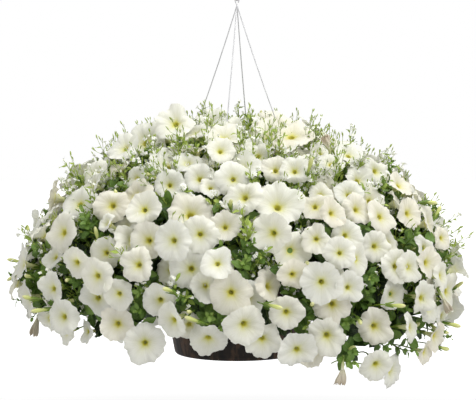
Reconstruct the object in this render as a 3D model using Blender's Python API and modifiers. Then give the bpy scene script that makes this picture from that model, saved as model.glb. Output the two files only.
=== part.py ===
"""Hanging flower basket on a four-strand wire hanger.

Frame: metres, +Z up, front towards -Y. The origin is the seat of the hook: the
point inside the top of its bend that rests on whatever holds the basket up.

Bodies, from the top down: the hook; the gather link, which swings front to
back in the hook's eye; and the basket, whose four strand eyes swing from side
to side on the link's bottom bar.
"""

import math

import bmesh
import bpy
from mathutils import Matrix, Vector

# Touching pieces keep this gap.
GAP = 0.0003

# Hook: one wire with a bend above and a closed eye below, both facing front.
HOOK_WIRE_R = 0.00175
HOOK_BEND_R = 0.015 + HOOK_WIRE_R
HOOK_TIP_ANGLE = math.radians(212)
HOOK_TURN = math.radians(40)
HOOK_EYE_R = 0.005
HOOK_EYE_Z = -0.055
HOOK_EYE_BAR_Z = HOOK_EYE_Z - HOOK_EYE_R

# Gather link: a wire triangle seen edge-on, apex in the hook's eye.
LINK_WIRE_R = 0.00125
LINK_APEX_R = 0.0035
LINK_CORNER_R = 0.0025
LINK_HALF_ANGLE = math.radians(24)
LINK_BAR_Z = -0.0713

# Hanger strands: an eye on the link's bar, a straight run and a peg in the rim.
STRAND_WIRE_R = 0.0009
STRAND_EYE_R = 0.00325
STRAND_EYE_Z = LINK_BAR_Z - (STRAND_EYE_R - STRAND_WIRE_R - LINK_WIRE_R - GAP)
STRAND_PITCH = 2 * STRAND_WIRE_R + GAP
STRAND_NECK_Z = STRAND_EYE_Z - 0.008
STRAND_ANGLES = [math.radians(a) for a in (256.3, -13.7, 166.3, 76.3)]
STRAND_BOW = 0.15
STRAND_PEG_R = 0.0024
STRAND_PEG_RISE = 0.005

# Pot: a tapered moulded tub with a flanged rim, a foot ring and drain holes.
RIM_Z = -0.478
BASE_Z = -0.669
WALL = 0.0018
RIM_R = 0.152
FLANGE_R = 0.1435
LIP_DROP = 0.014
BASE_R = 0.106
FOOT_WIDTH = 0.013
FOOT_RISE = 0.003
POT_STEPS = 48
HANGER_HOLE_R = 0.0021
HANGER_HOLE_AT = 0.1472
DRAIN_HOLE_R = 0.0045
DRAIN_HOLE_AT = 0.060
DRAIN_HOLES = 5

# Growing medium.
MEDIUM_TOP_Z = RIM_Z - 0.022
MEDIUM_CROWN = 0.004

# Plants: mounded growth over the rim, and trailing growth below it.
CANOPY_RX = 0.385
CANOPY_RY = 0.31
CANOPY_TOP_Z = -0.268
CANOPY_WIDEST_Z = -0.53
CANOPY_DEPTH = 0.040
MOUND_INNER_R = 0.104
MOUND_END = math.radians(61.5)
TRAIL_START = math.radians(63)
TRAIL_TUCK = 0.07
SECTOR_GAP = math.radians(2)
PETUNIAS = {
    "right": 1.3,
    "back_right": 61.3,
    "back_left": 121.3,
    "left": 181.3,
    "front_left": 241.3,
    "front_right": 301.3,
}
# How low the trailing growth hangs, at each 45 degrees from +X round by +Y.
TRAIL_LOWEST_Z = [-0.656, -0.668, -0.664, -0.660, -0.640, -0.676, -0.620, -0.704]
PETUNIA_CROWN_AT = 0.098
PETUNIA_CROWN_R = 0.009
PETUNIA_STEM_R = 0.0028
STEM_ARCH = 0.45

FILLERS = {
    "back_right": 31.3,
    "back_left": 121.3,
    "front_left": 211.3,
    "front_right": 301.3,
}
FILLER_AT = 0.060
FILLER_R = 0.035
FILLER_Z = -0.288
FILLER_CROWN_AT = 0.050
FILLER_CROWN_R = 0.006
FILLER_STEM_R = 0.0016


def clear_scene():
    for obj in list(bpy.data.objects):
        bpy.data.objects.remove(obj, do_unlink=True)


def new_collection(name):
    collection = bpy.data.collections.new(name)
    bpy.context.scene.collection.children.link(collection)
    return collection


def new_material(name, colour, roughness, metallic=0.0):
    material = bpy.data.materials.new(name)
    material.use_nodes = True
    shader = material.node_tree.nodes["Principled BSDF"]
    shader.inputs["Base Color"].default_value = (*colour, 1.0)
    shader.inputs["Roughness"].default_value = roughness
    shader.inputs["Metallic"].default_value = metallic
    return material


def add_object(name, data, collection, material=None, parent=None):
    obj = bpy.data.objects.new(name, data)
    if material:
        data.materials.append(material)
    if parent:
        obj.parent = parent
        obj.matrix_parent_inverse = Matrix.Translation(parent.location).inverted()
    collection.objects.link(obj)
    return obj


def add_pivot(name, location, collection):
    pivot = bpy.data.objects.new(name, None)
    pivot.location = location
    pivot.empty_display_size = 0.01
    collection.objects.link(pivot)
    return pivot


def arc(centre, radius, start, end, count):
    """Points on an arc in a plane, from one angle to another."""
    turn = (end - start) / (count - 1)
    angles = [start + turn * i for i in range(count)]
    return [(centre[0] + radius * math.cos(a), centre[1] + radius * math.sin(a)) for a in angles]


def polar(radius, angle, z):
    return Vector((radius * math.cos(angle), radius * math.sin(angle), z))


def wire_curve(name, points, radius, cyclic=False):
    """A round wire along a run of points, closed on itself or with capped ends."""
    curve = bpy.data.curves.new(name, "CURVE")
    curve.dimensions = "3D"
    curve.bevel_depth = radius
    curve.bevel_resolution = 2
    curve.use_fill_caps = not cyclic
    spline = curve.splines.new("POLY")
    spline.points.add(len(points) - 1)
    for spline_point, point in zip(spline.points, points):
        spline_point.co = (*point, 1.0)
    spline.use_cyclic_u = cyclic
    spline.use_smooth = True
    return curve


def rounded_loop(corners, radii, count):
    """A closed polygon in a plane, with an arc of its own radius at each corner."""
    points = []
    for i, (corner, radius) in enumerate(zip(corners, radii)):
        corner = Vector(corner)
        before = (Vector(corners[i - 1]) - corner).normalized()
        after = (Vector(corners[(i + 1) % len(corners)]) - corner).normalized()
        half = before.angle(after) / 2
        centre = corner + (before + after).normalized() * radius / math.sin(half)
        first = corner + before * radius / math.tan(half) - centre
        last = corner + after * radius / math.tan(half) - centre
        start = math.atan2(first.y, first.x)
        sweep = (math.atan2(last.y, last.x) - start + math.pi) % math.tau - math.pi
        points += arc(centre, radius, start, start + sweep, count)
    return points


def as_mesh(obj):
    """Swap a curve object for a mesh one, with its end caps welded on."""
    bpy.context.view_layer.update()
    evaluated = obj.evaluated_get(bpy.context.evaluated_depsgraph_get())
    mesh = bpy.data.meshes.new_from_object(evaluated)
    bm = bmesh.new()
    bm.from_mesh(mesh)
    bmesh.ops.remove_doubles(bm, verts=bm.verts, dist=0.00001)
    bm.to_mesh(mesh)
    bm.free()
    name, collection, place = obj.name, obj.users_collection[0], obj.matrix_world.copy()
    bpy.data.objects.remove(obj, do_unlink=True)
    swapped = bpy.data.objects.new(name, mesh)
    swapped.matrix_world = place
    collection.objects.link(swapped)
    return swapped


def boolean(obj, other, operation):
    modifier = obj.modifiers.new(f"{operation.lower()} {other.name}", "BOOLEAN")
    modifier.operation = operation
    modifier.object = other
    other.hide_render = True
    other.display_type = "WIRE"


def build_hook(collection, material):
    """The supporting hook: tip, bend, shank and an eye whose end meets the shank."""
    bend_z = -(HOOK_BEND_R - HOOK_WIRE_R)
    bend = arc((0, bend_z), HOOK_BEND_R, HOOK_TIP_ANGLE, -HOOK_TURN, 20)
    run = HOOK_BEND_R * math.cos(HOOK_TURN) - HOOK_EYE_R
    sweep_r = run / (1 - math.cos(HOOK_TURN))
    sweep_centre = (
        HOOK_EYE_R + sweep_r,
        bend_z - (HOOK_BEND_R + sweep_r) * math.sin(HOOK_TURN),
    )
    shank = arc(sweep_centre, sweep_r, math.pi - HOOK_TURN, math.pi, 6)[1:]
    eye = arc((0, HOOK_EYE_Z), HOOK_EYE_R, 0, -1.5 * math.pi, 14)
    end = [(HOOK_EYE_R - HOOK_WIRE_R - GAP, HOOK_EYE_Z + HOOK_EYE_R)]
    route = [(x, 0, z) for x, z in bend + shank + eye + end]
    add_object("hook", wire_curve("hook", route, HOOK_WIRE_R), collection, material)


def build_gather_link(collection, material, pivot):
    """The triangular link that gathers the strands on its straight bottom bar."""
    apex_z = HOOK_EYE_BAR_Z + LINK_APEX_R / math.sin(LINK_HALF_ANGLE)
    half_width = (apex_z - LINK_BAR_Z) * math.tan(LINK_HALF_ANGLE)
    corners = [(0, apex_z), (half_width, LINK_BAR_Z), (-half_width, LINK_BAR_Z)]
    loop = rounded_loop(corners, [LINK_APEX_R, LINK_CORNER_R, LINK_CORNER_R], 7)
    curve = wire_curve("gather_link", [(0, y, z) for y, z in loop], LINK_WIRE_R, cyclic=True)
    add_object("gather_link", curve, collection, material, pivot)


def strand_route(index, angle):
    """One strand, from the open side of its eye to the tip of its peg under the rim."""
    eye_y = (index - 1.5) * STRAND_PITCH
    loop = arc((0, STRAND_EYE_Z), STRAND_EYE_R, math.radians(-35), math.radians(215), 13)
    start = (2 * STRAND_WIRE_R + 2 * GAP, STRAND_EYE_Z - STRAND_EYE_R - GAP)
    route = [Vector((x, eye_y, z)) for x, z in [start] + loop]
    peg_z = RIM_Z + 0.007
    steps = 8
    for i in range(steps + 1):
        fall = i / steps
        radius = HANGER_HOLE_AT * ((1 - STRAND_BOW) * fall + STRAND_BOW * fall**2)
        point = polar(radius, angle, STRAND_NECK_Z + (peg_z - STRAND_NECK_Z) * fall)
        point.y += eye_y * (1 - fall)
        route.append(point)
    hole = polar(HANGER_HOLE_AT, angle, 0)
    along = polar(1, angle + math.pi / 2, 0)
    turn_z = RIM_Z - LIP_DROP + 0.003
    for across, z in arc((STRAND_PEG_R, turn_z), STRAND_PEG_R, math.pi, math.tau, 6):
        route.append(hole + along * across + Vector((0, 0, z)))
    route.append(hole + along * 2 * STRAND_PEG_R + Vector((0, 0, turn_z + STRAND_PEG_RISE)))
    return route


def build_strands(collection, material, pivot):
    for index, angle in enumerate(STRAND_ANGLES):
        name = f"hanger_strand_{index + 1}"
        curve = wire_curve(name, strand_route(index, angle), STRAND_WIRE_R)
        add_object(name, curve, collection, material, pivot)


def turned(name, profile, collection, material, pivot):
    """A profile of (radius, z), from the axis down its outer side and back to the axis."""
    mesh = bpy.data.meshes.new(name)
    edges = [(i, i + 1) for i in range(len(profile) - 1)]
    mesh.from_pydata([(r, 0, z) for r, z in profile], edges, [])
    obj = add_object(name, mesh, collection, material, pivot)
    screw = obj.modifiers.new("turn", "SCREW")
    screw.steps = POT_STEPS
    screw.render_steps = POT_STEPS
    screw.use_merge_vertices = True
    screw.merge_threshold = 0.0001
    screw.use_smooth_shade = False
    return obj


def wall_radius(z, inset=0.0):
    """Outer radius of the tapered wall at a height, or further in by an inset."""
    up = (z - BASE_Z) / (RIM_Z - BASE_Z)
    return BASE_R + (FLANGE_R - BASE_R) * up - inset


def cutter(name, radius, location, height, collection):
    bm = bmesh.new()
    bmesh.ops.create_cone(
        bm, cap_ends=True, segments=12, radius1=radius, radius2=radius, depth=height
    )
    mesh = bpy.data.meshes.new(name)
    bm.to_mesh(mesh)
    bm.free()
    obj = add_object(name, mesh, collection)
    obj.location = location
    return obj


def build_pot(collection, cutters, material, pivot):
    floor_z = BASE_Z + FOOT_RISE + WALL
    foot_in = BASE_R - FOOT_WIDTH
    lip_z = RIM_Z - LIP_DROP
    profile = [
        (0, floor_z),
        (foot_in, floor_z),
        (foot_in + 0.003, BASE_Z + WALL),
        (wall_radius(BASE_Z, 2 * WALL), BASE_Z + WALL),
        (wall_radius(BASE_Z + 0.006, WALL), BASE_Z + 0.006),
        (wall_radius(RIM_Z - 0.002, WALL), RIM_Z - 0.002),
        (FLANGE_R, RIM_Z),
        (RIM_R - 0.001, RIM_Z),
        (RIM_R, RIM_Z - 0.001),
        (RIM_R, lip_z),
        (RIM_R - WALL, lip_z),
        (RIM_R - WALL, RIM_Z - WALL),
        (wall_radius(RIM_Z - WALL) + 0.0005, RIM_Z - WALL),
        (wall_radius(RIM_Z - 0.030), RIM_Z - 0.030),
        (wall_radius(BASE_Z + 0.008), BASE_Z + 0.008),
        (wall_radius(BASE_Z + 0.003), BASE_Z + 0.003),
        (BASE_R - 0.0015, BASE_Z),
        (foot_in + 0.003 - WALL / 2, BASE_Z),
        (foot_in - WALL / 2, BASE_Z + FOOT_RISE),
        (0, BASE_Z + FOOT_RISE),
    ]
    pot = turned("pot", profile, collection, material, pivot)
    for i, angle in enumerate(STRAND_ANGLES):
        at = polar(HANGER_HOLE_AT, angle, RIM_Z)
        hole = cutter(f"hanger_hole_{i + 1}", HANGER_HOLE_R, at, 6 * WALL, cutters)
        boolean(pot, hole, "DIFFERENCE")
    for i in range(DRAIN_HOLES):
        at = polar(DRAIN_HOLE_AT, math.tau * i / DRAIN_HOLES, floor_z)
        hole = cutter(f"drain_hole_{i + 1}", DRAIN_HOLE_R, at, 6 * WALL, cutters)
        boolean(pot, hole, "DIFFERENCE")


def build_growing_medium(collection, material, pivot):
    clear = WALL + GAP + 0.0002
    floor_z = BASE_Z + FOOT_RISE + WALL + GAP
    profile = [
        (0, MEDIUM_TOP_Z + MEDIUM_CROWN),
        (0.06, MEDIUM_TOP_Z + MEDIUM_CROWN * 0.7),
        (wall_radius(MEDIUM_TOP_Z, clear), MEDIUM_TOP_Z),
        (wall_radius(BASE_Z + 0.010, clear), BASE_Z + 0.010),
        (wall_radius(BASE_Z + 0.010, clear) - 0.003, floor_z),
        (0, floor_z),
    ]
    turned("growing_medium", profile, collection, material, pivot)


def trail_lowest(angle):
    """How low the trailing growth hangs at an angle, eased between its eight points."""
    place = (angle / math.tau * len(TRAIL_LOWEST_Z)) % len(TRAIL_LOWEST_Z)
    index = int(place)
    blend = (1 - math.cos((place - index) * math.pi)) / 2
    after = TRAIL_LOWEST_Z[(index + 1) % len(TRAIL_LOWEST_Z)]
    return TRAIL_LOWEST_Z[index] * (1 - blend) + after * blend


def canopy_radius(angle):
    """Radius of the canopy's elliptical plan at an angle."""
    return 1 / math.hypot(math.cos(angle) / CANOPY_RX, math.sin(angle) / CANOPY_RY)


def dome_point(angle, tilt):
    """A point on the dome over the basket: tilt 0 is its top and 90 degrees its widest."""
    height = (CANOPY_TOP_Z - CANOPY_WIDEST_Z) * math.cos(tilt)
    return polar(canopy_radius(angle) * math.sin(tilt), angle, CANOPY_WIDEST_Z + height)


def mound_point(angle, along):
    inner = math.asin(MOUND_INNER_R / canopy_radius(angle))
    return dome_point(angle, inner + (MOUND_END - inner) * along)


def trail_point(angle, along):
    """Down the trailing growth: the dome's shoulder first, then the hanging skirt."""
    shoulder = 0.35
    if along <= shoulder:
        return dome_point(angle, TRAIL_START + (math.pi / 2 - TRAIL_START) * along / shoulder)
    hang = (along - shoulder) / (1 - shoulder)
    z = CANOPY_WIDEST_Z + (trail_lowest(angle) - CANOPY_WIDEST_Z) * hang
    return polar(canopy_radius(angle) * (1 - TRAIL_TUCK * hang**2), angle, z)


def inner_point(point):
    """The point on the canopy's inside, straight in from one on its outside."""
    focus = Vector((0, 0, min(point.z, CANOPY_WIDEST_Z)))
    return point - (point - focus).normalized() * CANOPY_DEPTH


def sector_shell(name, centre, surface, rows, collection, material, pivot):
    """A sixth of the canopy, as a curved sheet extruded inwards."""
    columns = 6
    width = math.tau / len(PETUNIAS) - SECTOR_GAP
    bm = bmesh.new()
    bmesh.ops.create_grid(bm, x_segments=columns, y_segments=rows, size=0.5)
    for vert in bm.verts:
        vert.co = surface(centre + width * vert.co.x, 0.5 - vert.co.y)
    inside = bmesh.ops.extrude_face_region(bm, geom=bm.faces[:])["geom"]
    for vert in inside:
        if isinstance(vert, bmesh.types.BMVert):
            vert.co = inner_point(vert.co)
    bmesh.ops.recalc_face_normals(bm, faces=bm.faces)
    mesh = bpy.data.meshes.new(name)
    bm.to_mesh(mesh)
    bm.free()
    return add_object(name, mesh, collection, material, pivot)


def ellipsoid(name, radii, location, segments, collection, material=None, pivot=None):
    bm = bmesh.new()
    bmesh.ops.create_uvsphere(bm, u_segments=segments, v_segments=segments - 2, radius=1)
    bmesh.ops.scale(bm, vec=radii, verts=bm.verts)
    bmesh.ops.translate(bm, vec=location, verts=bm.verts)
    mesh = bpy.data.meshes.new(name)
    bm.to_mesh(mesh)
    bm.free()
    return add_object(name, mesh, collection, material, pivot)


def build_stems(name, crown, crown_r, stem_r, tips, collection, cutters, material, pivot):
    """A plant's crown on the medium, with a bowed stem to each tip, joined as one piece."""
    obj = ellipsoid(name, (crown_r, crown_r, crown_r * 0.8), crown, 8, collection, material, pivot)
    for i, tip in enumerate(tips):
        turn = math.tau * i / len(tips)
        base = crown + polar(crown_r * 0.45, turn, 0)
        bend = base.lerp(tip, 0.4)
        bend.z = max(base.z, tip.z) + STEM_ARCH * (tip.xy - base.xy).length
        points = [base.lerp(bend, t).lerp(bend.lerp(tip, t), t) for t in (0, 0.2, 0.45, 0.7, 1)]
        stem = wire_curve(f"{name}_{i + 1}", points, stem_r)
        tube = as_mesh(add_object(f"{name}_{i + 1}", stem, cutters))
        boolean(obj, tube, "UNION")


def build_petunia(side, degrees, collection, cutters, materials, pivot):
    angle = math.radians(degrees)
    for kind, surface, rows in (("mound", mound_point, 4), ("trail", trail_point, 6)):
        name = f"petunia_{kind}_{side}"
        sector_shell(name, angle, surface, rows, collection, materials["petals"], pivot)
    radius = canopy_radius(angle)
    crown_z = MEDIUM_TOP_Z + MEDIUM_CROWN + 0.8 * PETUNIA_CROWN_R + GAP
    clear = CANOPY_DEPTH + 0.012
    tips = [
        polar(0.60 * radius, angle, -0.385),
        polar(radius - clear, angle, CANOPY_WIDEST_Z + 0.02),
        polar(radius - clear - 0.012, angle - math.radians(13), CANOPY_WIDEST_Z - 0.03),
        polar(radius - clear - 0.012, angle + math.radians(13), CANOPY_WIDEST_Z - 0.03),
    ]
    crown = polar(PETUNIA_CROWN_AT, angle, crown_z)
    build_stems(
        f"petunia_stems_{side}", crown, PETUNIA_CROWN_R, PETUNIA_STEM_R, tips,
        collection, cutters, materials["stems"], pivot,
    )


def build_filler(side, degrees, collection, cutters, materials, pivot):
    angle = math.radians(degrees)
    centre = polar(FILLER_AT, angle, FILLER_Z)
    ellipsoid(
        f"filler_mound_{side}", (FILLER_R, FILLER_R, FILLER_R), centre, 12,
        collection, materials["filler"], pivot,
    )
    crown_z = MEDIUM_TOP_Z + MEDIUM_CROWN + 0.8 * FILLER_CROWN_R + GAP
    crown = polar(FILLER_CROWN_AT, angle, crown_z)
    tip_z = FILLER_Z - FILLER_R - 0.004
    tips = [
        polar(FILLER_AT - 0.016, angle, tip_z),
        polar(FILLER_AT + 0.014, angle + 0.22, tip_z),
        polar(FILLER_AT + 0.014, angle - 0.22, tip_z),
    ]
    build_stems(
        f"filler_stems_{side}", crown, FILLER_CROWN_R, FILLER_STEM_R, tips,
        collection, cutters, materials["stems"], pivot,
    )


def main():
    clear_scene()
    collection = new_collection("hanging_basket")
    cutters = new_collection("cutters")
    galvanised = new_material("galvanised_wire", (0.55, 0.56, 0.55), 0.4, 1.0)
    dark_wire = new_material("hook_wire", (0.26, 0.27, 0.26), 0.45, 1.0)
    brown = new_material("brown_plastic", (0.020, 0.012, 0.008), 0.5)
    peat = new_material("peat_mix", (0.030, 0.018, 0.010), 0.95)
    plants = {
        "petals": new_material("white_petals", (0.80, 0.80, 0.74), 0.55),
        "filler": new_material("filler_growth", (0.30, 0.42, 0.14), 0.6),
        "stems": new_material("green_stems", (0.12, 0.20, 0.05), 0.6),
    }
    link_pivot = add_pivot("link_pivot", (0, 0, HOOK_EYE_BAR_Z), collection)
    basket_pivot = add_pivot("basket_pivot", (0, 0, LINK_BAR_Z), collection)

    build_hook(collection, dark_wire)
    build_gather_link(collection, dark_wire, link_pivot)
    build_strands(collection, galvanised, basket_pivot)
    build_pot(collection, cutters, brown, basket_pivot)
    build_growing_medium(collection, peat, basket_pivot)
    for side, degrees in PETUNIAS.items():
        build_petunia(side, degrees, collection, cutters, plants, basket_pivot)
    for side, degrees in FILLERS.items():
        build_filler(side, degrees, collection, cutters, plants, basket_pivot)


main()
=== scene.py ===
"""The looks of the hanging flower basket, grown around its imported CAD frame.

The hook, link, strands, pot and growing medium keep their CAD shapes and get materials here. The
plants' plain CAD solids are replaced by real growth: blooms, buds, leaves, stems and sprigs are
shaped one kind at a time, and copies are set out over the canopy that the CAD solids fill.
Lengths are in metres, with MM for millimetres, and places are in the frame of the CAD model.
"""

import functools
import math
import random

import bpy
import numpy as np
from mathutils import Matrix, Vector, noise


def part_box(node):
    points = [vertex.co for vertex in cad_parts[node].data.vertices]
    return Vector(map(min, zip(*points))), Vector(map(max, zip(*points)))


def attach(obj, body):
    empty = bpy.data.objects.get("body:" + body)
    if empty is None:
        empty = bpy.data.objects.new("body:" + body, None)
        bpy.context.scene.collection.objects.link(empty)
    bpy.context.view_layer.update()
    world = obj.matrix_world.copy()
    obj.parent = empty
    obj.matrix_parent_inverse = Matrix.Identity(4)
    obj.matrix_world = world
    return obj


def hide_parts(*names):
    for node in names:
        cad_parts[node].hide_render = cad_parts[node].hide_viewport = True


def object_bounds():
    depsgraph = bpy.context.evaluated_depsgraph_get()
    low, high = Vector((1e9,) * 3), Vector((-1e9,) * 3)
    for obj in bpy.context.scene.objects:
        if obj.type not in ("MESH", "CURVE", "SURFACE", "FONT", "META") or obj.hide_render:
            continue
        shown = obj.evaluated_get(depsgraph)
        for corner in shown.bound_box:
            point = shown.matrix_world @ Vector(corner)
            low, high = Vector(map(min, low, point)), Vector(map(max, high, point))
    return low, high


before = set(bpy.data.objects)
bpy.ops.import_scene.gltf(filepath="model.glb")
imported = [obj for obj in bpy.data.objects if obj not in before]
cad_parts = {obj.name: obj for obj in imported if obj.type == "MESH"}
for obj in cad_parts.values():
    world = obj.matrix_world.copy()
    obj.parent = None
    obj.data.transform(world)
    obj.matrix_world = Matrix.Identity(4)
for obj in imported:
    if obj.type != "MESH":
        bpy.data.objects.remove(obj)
CAD_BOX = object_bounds()

TAU = math.tau
MM = 0.001
UP = Vector((0, 0, 1))

# -------- the canopy, from the frame

# The plants' sectors, by the angle in degrees of each one's middle.
SIDES = {
    "right": 1.3,
    "back_right": 61.3,
    "back_left": 121.3,
    "left": 181.3,
    "front_left": 241.3,
    "front_right": 301.3,
}
FILLER_SIDES = {"back_right": 31.3, "back_left": 121.3, "front_left": 211.3, "front_right": 301.3}

MEDIUM_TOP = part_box("growing_medium")[1][2]
RIM_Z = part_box("pot")[1][2]
CANOPY_TOP = max(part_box(f"petunia_mound_{side}")[1][2] for side in SIDES) + 6 * MM
CANOPY_RX = max(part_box(f"petunia_trail_{side}")[1][0] for side in SIDES)
CANOPY_RY = max(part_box(f"petunia_trail_{side}")[1][1] for side in SIDES)
# The canopy is a dome down to WIDEST_Z, with shoulders flattened by SLOPE, and from there it hangs
# and is tucked in towards its edge by TUCK. The dome is DOME_SHARE of the way down.
WIDEST_Z = -0.530
DOME_SHARE = 0.74
SLOPE = 0.03
TUCK = 0.07
# How low the growth hangs, at each 45 degrees from +X round by +Y.
LOWEST_Z = (-0.622, -0.650, -0.660, -0.650, -0.612, -0.628, -0.612, -0.690)
# The four tiers that the growth is split into, by how far down the canopy each one starts.
TIERS = {"crown": 0.0, "shoulder": 0.26, "flank": 0.51, "hem": 0.76}
# How far petals and sprigs may stand out of the CAD box.
SPARE_ROOM = 22 * MM
# How finely front_place searches: angles over the front, and halvings of the way down each.
FRONT_ANGLES = 97
HALVINGS = 12


def lowest_z(angle):
    """How low the growth hangs at an angle."""
    place = (angle / TAU * len(LOWEST_Z)) % len(LOWEST_Z)
    index = int(place)
    blend = (1 - math.cos((place - index) * math.pi)) / 2
    return LOWEST_Z[index] * (1 - blend) + LOWEST_Z[(index + 1) % len(LOWEST_Z)] * blend


def canopy_point(angle, down):
    """A point on the outside of the canopy: down is 0 at its top and 1 at its hanging edge."""
    radius = 1 / math.hypot(math.cos(angle) / CANOPY_RX, math.sin(angle) / CANOPY_RY)
    if down <= DOME_SHARE:
        tilt = math.pi / 2 * down / DOME_SHARE
        slope = 1 - SLOPE * math.sin(2 * tilt) ** 2
        radius *= math.sin(tilt) * slope
        z = WIDEST_Z + (CANOPY_TOP - WIDEST_Z) * math.cos(tilt) * slope
    else:
        hang = (down - DOME_SHARE) / (1 - DOME_SHARE)
        radius *= 1 - TUCK * hang**2
        z = WIDEST_Z + (lowest_z(angle) - WIDEST_Z) * hang
    return Vector((radius * math.cos(angle), radius * math.sin(angle), z))


def canopy_normal(angle, down):
    """The direction straight out of the canopy at a point."""
    step = 0.01
    down = min(max(down, 2 * step), 1 - step)
    round_way = canopy_point(angle + step, down) - canopy_point(angle - step, down)
    down_way = canopy_point(angle, down + step) - canopy_point(angle, down - step)
    return down_way.cross(round_way).normalized()


def front_place(x, z):
    """The angle and down of the point on the front of the canopy at this x and z."""
    best = None
    for i in range(FRONT_ANGLES):
        angle = math.pi * (1 + (i + 0.5) / FRONT_ANGLES)
        low, high = 0.0, 1.0
        for _ in range(HALVINGS):
            down = (low + high) / 2
            if canopy_point(angle, down).z > z:
                low = down
            else:
                high = down
        miss = abs(canopy_point(angle, down).x - x)
        if best is None or miss < best[0]:
            best = (miss, angle, down)
    return best[1:]


def side_of(angle, sides):
    """The named sector that an angle is in."""
    degrees = math.degrees(angle)
    return min(sides, key=lambda side: abs((degrees - sides[side] + 180) % 360 - 180))


def tier_of(down):
    return [tier for tier, start in TIERS.items() if down >= start][-1]


def stands_for(tier, side):
    """The plain CAD solid that growth in this tier and sector replaces."""
    kind = "mound" if tier in ("crown", "shoulder") else "trail"
    return f"petunia_{kind}_{side}"


# -------- meshes from arrays


def moved_points(points, matrix):
    m = np.array(matrix)
    return points @ m[:3, :3].T + m[:3, 3]


class Patch:
    """A grid of four-sided faces with one finish, and three paint values at each of its points."""

    def __init__(self, points, paint, faces, finish):
        self.points = points
        self.paint = paint
        self.faces = faces
        self.finish = finish

    def moved(self, matrix):
        return Patch(moved_points(self.points, matrix), self.paint, self.faces, self.finish)


@functools.cache
def grid_faces(rows, columns, closed):
    row, column = np.meshgrid(
        np.arange(rows - 1), np.arange(columns if closed else columns - 1), indexing="ij"
    )
    after = (column + 1) % columns
    corners = (
        row * columns + column,
        row * columns + after,
        (row + 1) * columns + after,
        (row + 1) * columns + column,
    )
    return np.stack([c.ravel() for c in corners], axis=1)


def sheet(points, along, across, finish, closed=False, age=0.0):
    """A patch from a grid of points, rows by columns; closed joins the last column to the first.

    along and across are the paint values of its points, and age is one for the whole patch.
    """
    points = np.asarray(points, dtype=float)
    rows, columns = points.shape[:2]
    paint = np.empty((rows, columns, 3))
    paint[..., 0] = along
    paint[..., 1] = across
    paint[..., 2] = age
    faces = grid_faces(rows, columns, closed)
    return Patch(points.reshape(-1, 3), paint.reshape(-1, 3), faces, finish)


def tube(path, radii, sides, finish, age=0.0):
    """A round stem along a path."""
    path = [Vector(p) for p in path]
    side = (path[1] - path[0]).orthogonal().normalized()
    turns = [TAU * k / sides for k in range(sides)]
    rings = []
    for i, point in enumerate(path):
        ahead = (path[min(i + 1, len(path) - 1)] - path[max(i - 1, 0)]).normalized()
        side = (side - ahead * side.dot(ahead)).normalized()
        across = ahead.cross(side)
        rings.append([point + (side * math.cos(t) + across * math.sin(t)) * radii[i] for t in turns])
    along = np.linspace(0, 1, len(path))[:, None]
    return sheet(rings, along, np.arange(sides) / sides, finish, closed=True, age=age)


def bow(start, bend, end, share):
    """The point at a share of the way from start to end on a smooth bow pulled towards bend."""
    return start.lerp(bend, share).lerp(bend.lerp(end, share), share)


def bowed(start, bend, end, count):
    return [bow(start, bend, end, i / (count - 1)) for i in range(count)]


def tapered(first, last, count):
    return [first + (last - first) * i / (count - 1) for i in range(count)]


def turned(angle):
    """A matrix that turns rows of points about Z."""
    cos, sin = math.cos(angle), math.sin(angle)
    return np.array([[cos, sin, 0], [-sin, cos, 0], [0, 0, 1]])


def column(*values):
    """One number for each row of a sheet."""
    return np.array(values)[:, None]


def full_turn(count):
    """Angles all the way round."""
    return np.arange(count) * TAU / count


def rings(radius, angle, z, lean=0, flatten=1):
    """Rows of points round Z, at a radius and height for each angle, leaning along +X."""
    x = radius * np.cos(angle) + lean
    y = radius * np.sin(angle) * flatten
    return np.stack([x, y, z * np.ones_like(angle)], axis=2)


def facing(location, direction, roll, scale=1.0):
    """A matrix that puts a shape's origin at location with its +Z along direction."""
    turn = direction.to_track_quat("Z", "Y").to_matrix().to_4x4()
    return Matrix.Translation(location) @ turn @ Matrix.Rotation(roll, 4, "Z") @ Matrix.Scale(scale, 4)


def new_object(name, data):
    made = bpy.data.objects.new(name, data)
    bpy.context.scene.collection.objects.link(made)
    return made


def points_of(patches, matrix):
    """All the points of some patches, moved by a matrix."""
    return moved_points(np.concatenate([patch.points for patch in patches]), matrix)


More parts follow.
